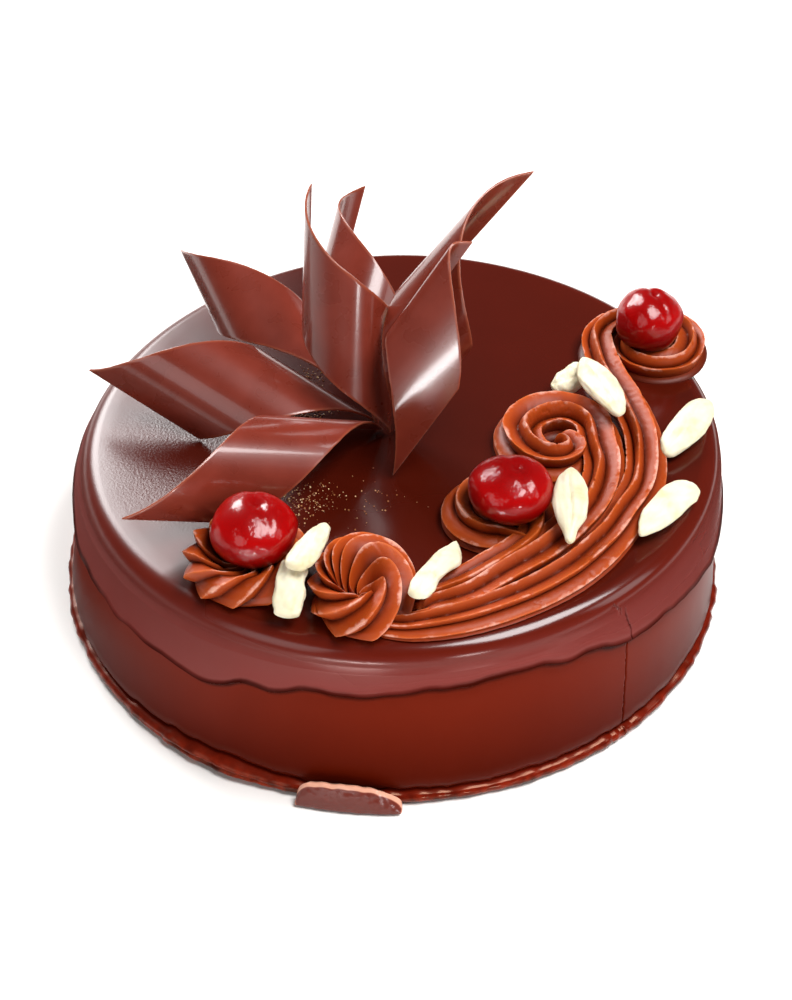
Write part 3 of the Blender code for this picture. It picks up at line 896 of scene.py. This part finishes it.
def makeRosette(node, rosette):
    # a star-nozzle rosette: thin-lipped lobes wind from the foot up into the eye, more on the right
    shares, radii, heights = (np.array(column) for column in zip(*rosette["outline"]))
    middle, eye = np.array(rosette["middle"]) * mm, np.array(rosette["eye"]) * mm

    def ridgeHeight(u, v):
        lobe = rosette["lobes"] * u
        torn = lumps(np.stack([np.floor(lobe), v * 7, 0 * u], -1), 1.0, 3.0)
        return blade(lobe % 1) * (1 - 0.35 * ramp(torn, 0.3, 0.5))

    def place(u, v):
        ridge = ridgeHeight(u, v)
        wind, lean = rosette["winding"]
        start = 2 * np.pi * u
        angle = start + (wind + lean * np.cos(start)) * (0.62 * v + 0.38 * v ** 3)
        scallop = rosette["scallop"] * (ridge - 0.6) * ramp(v, 0, 0.12) * (1.1 - v)
        share = smoothSizes(v, shares, radii) * (1 + scallop)
        drift = ramp(v, 0.2, 1.0)
        x = middle[0] + eye[0] * drift + rosette["radii"][0] * mm * share * np.cos(angle)
        y = middle[1] + eye[1] * drift + rosette["radii"][1] * mm * share * np.sin(angle)
        lift = smoothSizes(v, shares, heights) + (ridge - 0.7) * rosette["ridge"] * ramp(v, 0.04, 0.3)
        points = onTop(x, y, piping["lift"] + np.clip(lift, 0, None) * mm)
        pits = piping["tear"] * lumps(points, 1.8 * mm, 2.0) * ramp(v, 0.02, 0.1)
        return points + pits[:, None] * topNormal

    piece = shapedGrid(pieceName(node), *piping["rosetteGrid"], place,
                       lambda u, v: {"ridge": ridgeHeight(u, v)})
    closeBottom(piece)
    return dress(piece, cream, [node], 40)


def closeBottom(piece):
    # fills the open foot of a piece with one face
    selectOnly(piece)
    bpy.ops.object.mode_set(mode="EDIT")
    bpy.ops.mesh.select_mode(type="EDGE")
    bpy.ops.mesh.select_all(action="DESELECT")
    bpy.ops.mesh.select_non_manifold(extend=False)
    bpy.ops.mesh.edge_face_add()
    bpy.ops.mesh.select_mode(type="VERT")
    bpy.ops.mesh.select_all(action="SELECT")
    bpy.ops.mesh.normals_make_consistent(inside=False)
    bpy.ops.object.mode_set(mode="OBJECT")


for node, rosette in rosettes.items():
    makeRosette(node, rosette)
print("rosettes piped")

# Cherries

cherries = {
    # half: half the width and half the height in mm
    "cherry_left": {"middle": (-37.2, -58.4), "lift": 13.5, "half": (12.0, 9.2), "lumpy": 0.7, "seed": 17.0},
    "cherry_middle": {"middle": (33.3, -44.2), "lift": 13.9, "half": (11.8, 8.5), "lumpy": 0.8, "seed": 20.4},
    "cherry_right": {"middle": (78.5, 36.2), "lift": 13.0, "half": (10.4, 9.8), "lumpy": 1.0, "seed": 18.7},
}
fruit = {"segments": 80, "rings": 56, "lump": 0.085, "dent": 0.13, "fold": 0.05}  # depths in radii


def makeCherryPiece(node, cherry):
    middle = onTop(cherry["middle"][0] * mm, cherry["middle"][1] * mm, cherry["lift"] * mm)
    piece = unitSphere(pieceName(node), fruit["segments"], fruit["rings"])
    wide, high = cherry["half"]
    # height, 0 at the bottom and 1 at the top, carries the painted shade and glow of the flesh
    height = piece.data.attributes.new("height", "FLOAT", "POINT")
    height.data.foreach_set("value", [0.5 + 0.5 * vertex.co.z for vertex in piece.data.vertices])

    def swell(points):
        # fruit that shrank a little in the syrup: slack lumps, a dent at the stalk and one soft fold
        x, y, z = points.T
        small = points * 0.01  # the noise is read at about a cherry's real size
        lump = lumps(small, 8.5 * mm, cherry["seed"]) * 0.9 + lumps(small, 4 * mm, 3.0) * 0.3
        dent = np.exp(-((x - 0.15) ** 2 + (y - 0.1) ** 2) / 0.05) * (z > 0)
        fold = np.exp(-((x + 0.35 * y - 0.2) / 0.12) ** 2) * ramp(z, 0.1, 0.9)
        slack = cherry["lumpy"] * (fruit["lump"] * lump - fruit["fold"] * fold)
        scale = 1 + slack - fruit["dent"] * dent
        return middle + points * scale[:, None] * np.array((wide, wide, high)) * mm

    movePoints(piece, swell)
    return dress(piece, cherryRed, [node], 80)


for node, cherry in cherries.items():
    makeCherryPiece(node, cherry)
print("cherries set")

# Almonds

almonds = {
    # mm: the low and high end (x, y, above the top), and half widths left and right of the line between
    "almond_front_low": {
        "low": (-27.8, -84.2, 4.6), "high": (-25.8, -69.0, 11.6), "thick": 5.0, "seam": 0,
        "left": (3.0, 4.2, 4.4, 4.3, 3.9, 3.0), "right": (3.0, 4.1, 4.5, 3.5, 4.2, 3.2)},
    "almond_front_high": {
        "low": (-25.6, -76.0, 14.6), "high": (-17.6, -56.0, 12.4), "thick": 4.8, "seam": 0.3,
        "left": (2.6, 3.9, 3.9, 3.3, 2.7, 1.6), "right": (2.4, 4.0, 4.2, 3.7, 2.9, 1.6)},
    "almond_front_right": {
        "low": (6.6, -86.2, 13.0), "high": (18.0, -55.6, 5.2), "thick": 4.8, "seam": 0.4,
        "left": (2.4, 3.4, 3.3, 3.0, 2.6, 1.2, 0.3), "right": (2.6, 3.7, 2.7, 3.8, 5.6, 3.2, 0.3)},
    "almond_middle": {
        "low": (48.4, -63.6, 10.8), "high": (50.4, -37.8, 15.9), "thick": 5.2, "seam": 1,
        "left": (0.9, 2.0, 4.1, 4.9, 4.8, 3.8, 1.0), "right": (1.5, 2.2, 4.3, 5.0, 4.7, 3.5, 0.9)},
    "almond_back_left": {
        "low": (48.6, 13.0, 3.8), "high": (59.4, 18.6, 8.0), "thick": 5.4, "seam": 0,
        "left": (2.2, 4.0, 4.5, 4.8, 5.0, 2.6), "right": (2.2, 4.2, 4.8, 4.6, 3.6, 2.2)},
    "almond_back_right": {
        "low": (57.6, 20.3, 10.6), "high": (65.8, -11.5, 13.4), "thick": 5.2, "seam": 0.8,
        "left": (0.8, 2.8, 4.6, 5.2, 5.0, 4.0, 1.6), "right": (1.0, 3.6, 5.0, 5.0, 4.2, 2.8, 1.2)},
    "almond_right_back": {
        "low": (79.0, -17.4, 2.9), "high": (94.2, 7.9, 2.9), "thick": 5.0, "seam": 0.5,
        "left": (1.4, 4.0, 4.8, 5.0, 5.1, 4.5, 2.2), "right": (1.8, 3.6, 4.7, 5.4, 5.2, 4.0, 1.6)},
    "almond_right_front": {
        "low": (68.6, -54.4, 5.0), "high": (84.8, -31.0, 2.9), "thick": 5.0, "seam": 0.5,
        "left": (0.8, 3.2, 4.6, 5.1, 5.2, 5.1, 4.6), "right": (0.9, 2.8, 4.4, 5.1, 4.4, 4.8, 3.4)},
}
nut = {"segments": 56, "rings": 64, "tip": 0.06, "seamDepth": 0.28, "bow": 0.12}  # shares of its size


def makeAlmondPiece(node, low, high, thick, seam, left, right):
    start, end = (onTop(p[0] * mm, p[1] * mm, p[2] * mm) for p in (low, high))
    ahead = unit(end - start)
    across = unit(np.cross(ahead, topNormal))
    above = np.cross(across, ahead)
    length = np.linalg.norm(end - start)
    seed = low[0] * 0.13 + low[1] * 0.07
    piece = unitSphere(pieceName(node), nut["segments"], nut["rings"])

    def carve(points):
        # a split almond: a rounded back, a flatter cut face, sometimes a seam down its middle
        share = points[:, 2] * 0.5 + 0.5
        ring = np.sqrt(np.clip(1 - points[:, 2] ** 2, 1e-9, 1))
        sideways, upwards = (points[:, :2] / ring[:, None]).T
        back = upwards > 0
        near = np.clip(np.minimum(share, 1 - share) / nut["tip"], 0, 1)
        ends = np.sqrt(np.clip(1 - (1 - near) ** 2, 0, 1))
        steps = np.linspace(0, 1, len(left))
        halves = [smoothSizes(share, steps, np.array(side)) * ends for side in (left, right)]
        girth = (halves[0] + halves[1]) / 10
        small = points * 0.01
        lump = lumps(small, 6 * mm, seed) * 0.12 + lumps(small, 2.2 * mm, seed) * 0.06
        line = np.exp(-((sideways - 0.1 * np.sin(share * 6)) / 0.12) ** 2) * back * ramp(girth, 0.3, 0.8)
        flank = np.sign(upwards) * np.abs(upwards) ** np.where(back, 0.9, 0.6)
        wide = sideways * np.where(sideways < 0, halves[0], halves[1]) * (1 + lump)
        tall = flank * girth ** 0.6 * np.where(back, 1 + 1.5 * lump, 0.62)
        tall = tall * (1 - nut["seamDepth"] * seam * line)
        bow = nut["bow"] * thick * np.sin(np.pi * share)
        return (start + ahead * (length * share)[:, None] + across * (wide * mm)[:, None]
                + above * ((tall * thick / 2 + bow) * mm)[:, None])

    movePoints(piece, carve)
    closeUp(piece)
    return dress(piece, almondPale, [node], 50)


for node, almond in almonds.items():
    makeAlmondPiece(node, **almond)
print("almonds laid")

# Dust on the glaze round the petals

dust = {
    # each patch in mm: middle, spread, grains
    "patches": (((-26, 28), (7, 6), 130), ((-26, 9), (8, 3), 110), ((-25, -30), (9, 10), 210),
                ((-8, -34), (14, 14), 50)),
    "grain": (0.12, 0.3),
    "reach": 86,
    "seed": 7,
}


def makeDust():
    draws = np.random.default_rng(dust["seed"])
    bpy.ops.object.select_all(action="DESELECT")
    bpy.ops.mesh.primitive_ico_sphere_add(subdivisions=1, radius=1, location=(0, 0, 0))
    grain = bpy.context.active_object
    corners = np.array([tuple(vertex.co) for vertex in grain.data.vertices])
    faces = np.array([tuple(face.vertices) for face in grain.data.polygons])
    bpy.data.objects.remove(grain)
    points, triangles, tones = [], [], []
    for middle, spread, count in dust["patches"]:
        for x, y in draws.normal(0, 0.5, (count, 2)) * spread + middle:
            if math.hypot(x, y) > dust["reach"]:
                continue
            size = draws.uniform(*dust["grain"]) * mm
            centre = onTop(x * mm, y * mm, size * 0.4)
            triangles.append(faces + len(points) * len(corners))
            points.append(corners * size * draws.uniform(0.6, 1.2, 3) + centre)
            tones.append(np.full(len(corners), draws.uniform() ** 1.5))
    mesh = bpy.data.meshes.new("cocoaGrains")
    mesh.from_pydata(np.concatenate(points).tolist(), [], np.concatenate(triangles).tolist())
    piece = bpy.data.objects.new("cocoaGrains", mesh)
    bpy.context.scene.collection.objects.link(piece)
    layer = mesh.attributes.new("grain", "FLOAT", "POINT")
    layer.data.foreach_set("value", np.concatenate(tones).astype(np.float32))
    return dress(piece, cocoaDust, (), 30)


makeDust()
print("dust scattered")

# Floor, lights and camera

studio = {
    "floor": "#f4f1ee",
    "world": 0.07,
    "worldColour": (1, 0.97, 0.95, 1),
    "lights": (
        # name, place, size, power, what it is aimed at
        ("overheadSoftbox", (0.42, -0.2, 1.05), (0.7, 0.42), 17, (0, 0, 0.03)),
        ("backLeftWindow", (-0.6, 1.05, 0.82), (0.6, 0.75), 26, (-0.05, 0, 0.05)),
        ("rightFill", (1.3, -0.3, 0.8), (0.5, 0.6), 3, (0, 0, 0.05)),
        ("frontStrip", (0.56, -1.5, 0.2), (0.2, 0.14), 2.8, (0, 0, 0.08)),
        ("frontLeftFill", (-0.95, -1.0, 0.85), (0.8, 0.8), 4.5, (0, 0, 0.06)),
        ("floorCard", (-0.09, -0.38, 0.002), (0.12, 0.1), 1.6, (-0.09, -0.38, 1)),
    ),
    # brown cards beside the cake that only its shiny wall sees, so the pale floor doesn't grey the wall
    "cards": {"cardLeft": (-0.19, -0.02), "cardRight": (0.2, 0.02)},
    "cardSize": (0.17, 0.34),
    "cardColour": "#3a2018",
    "lens": 79.2,
    "distance": 0.6694,
    "tilt": 41.08,
    "lookAt": (0.0012, 0, 0.0249),
}


def aim(thing, target):
    thing.rotation_euler = (Vector(target) - thing.location).to_track_quat("-Z", "Y").to_euler()


def addPlane(name, size, place, material):
    bpy.ops.object.select_all(action="DESELECT")
    bpy.ops.mesh.primitive_plane_add(size=size, location=place)
    plane = bpy.context.active_object
    plane.name = name
    plane.data.materials.append(material)
    return plane


def addFloor():
    material = newMaterial("paleStudioFloor", {"Roughness": 0.7, "Base Color": colour(studio["floor"])})[0]
    addPlane("floor", 6, (0, 0, -0.2 * mm), material)
    material = newMaterial("brownCard", {"Roughness": 0.9, "Base Color": colour(studio["cardColour"])})[0]
    for name, (x, y) in studio["cards"].items():
        card = addPlane(name, 1, (x, y, 0.4 * mm), material)
        card.scale = (*studio["cardSize"], 1)
        for ray in ("camera", "diffuse", "shadow"):
            setattr(card, "visible_" + ray, False)


def addLights():
    for name, place, size, power, target in studio["lights"]:
        lamp = bpy.data.lights.new(name, "AREA")
        lamp.shape = "RECTANGLE"
        lamp.size, lamp.size_y = size
        lamp.energy = power
        holder = bpy.data.objects.new(name, lamp)
        holder.location = place
        aim(holder, target)
        holder.visible_camera = False
        bpy.context.scene.collection.objects.link(holder)
    world = bpy.data.worlds.new("dimStudio")
    world.use_nodes = True
    background = world.node_tree.nodes["Background"]
    background.inputs["Color"].default_value = studio["worldColour"]
    background.inputs["Strength"].default_value = studio["world"]
    bpy.context.scene.world = world
    bpy.context.scene.view_settings.view_transform = "Standard"


def addCamera():
    camera = bpy.data.objects.new("camera", bpy.data.cameras.new("camera"))
    camera.data.lens = studio["lens"]
    camera.data.sensor_width = 36
    tilt = math.radians(studio["tilt"])
    target = Vector(studio["lookAt"])
    camera.location = target + Vector((0, -math.cos(tilt), math.sin(tilt))) * studio["distance"]
    aim(camera, target)
    bpy.context.scene.collection.objects.link(camera)
    bpy.context.scene.camera = camera


addFloor()
addLights()
addCamera()
print("studio ready")
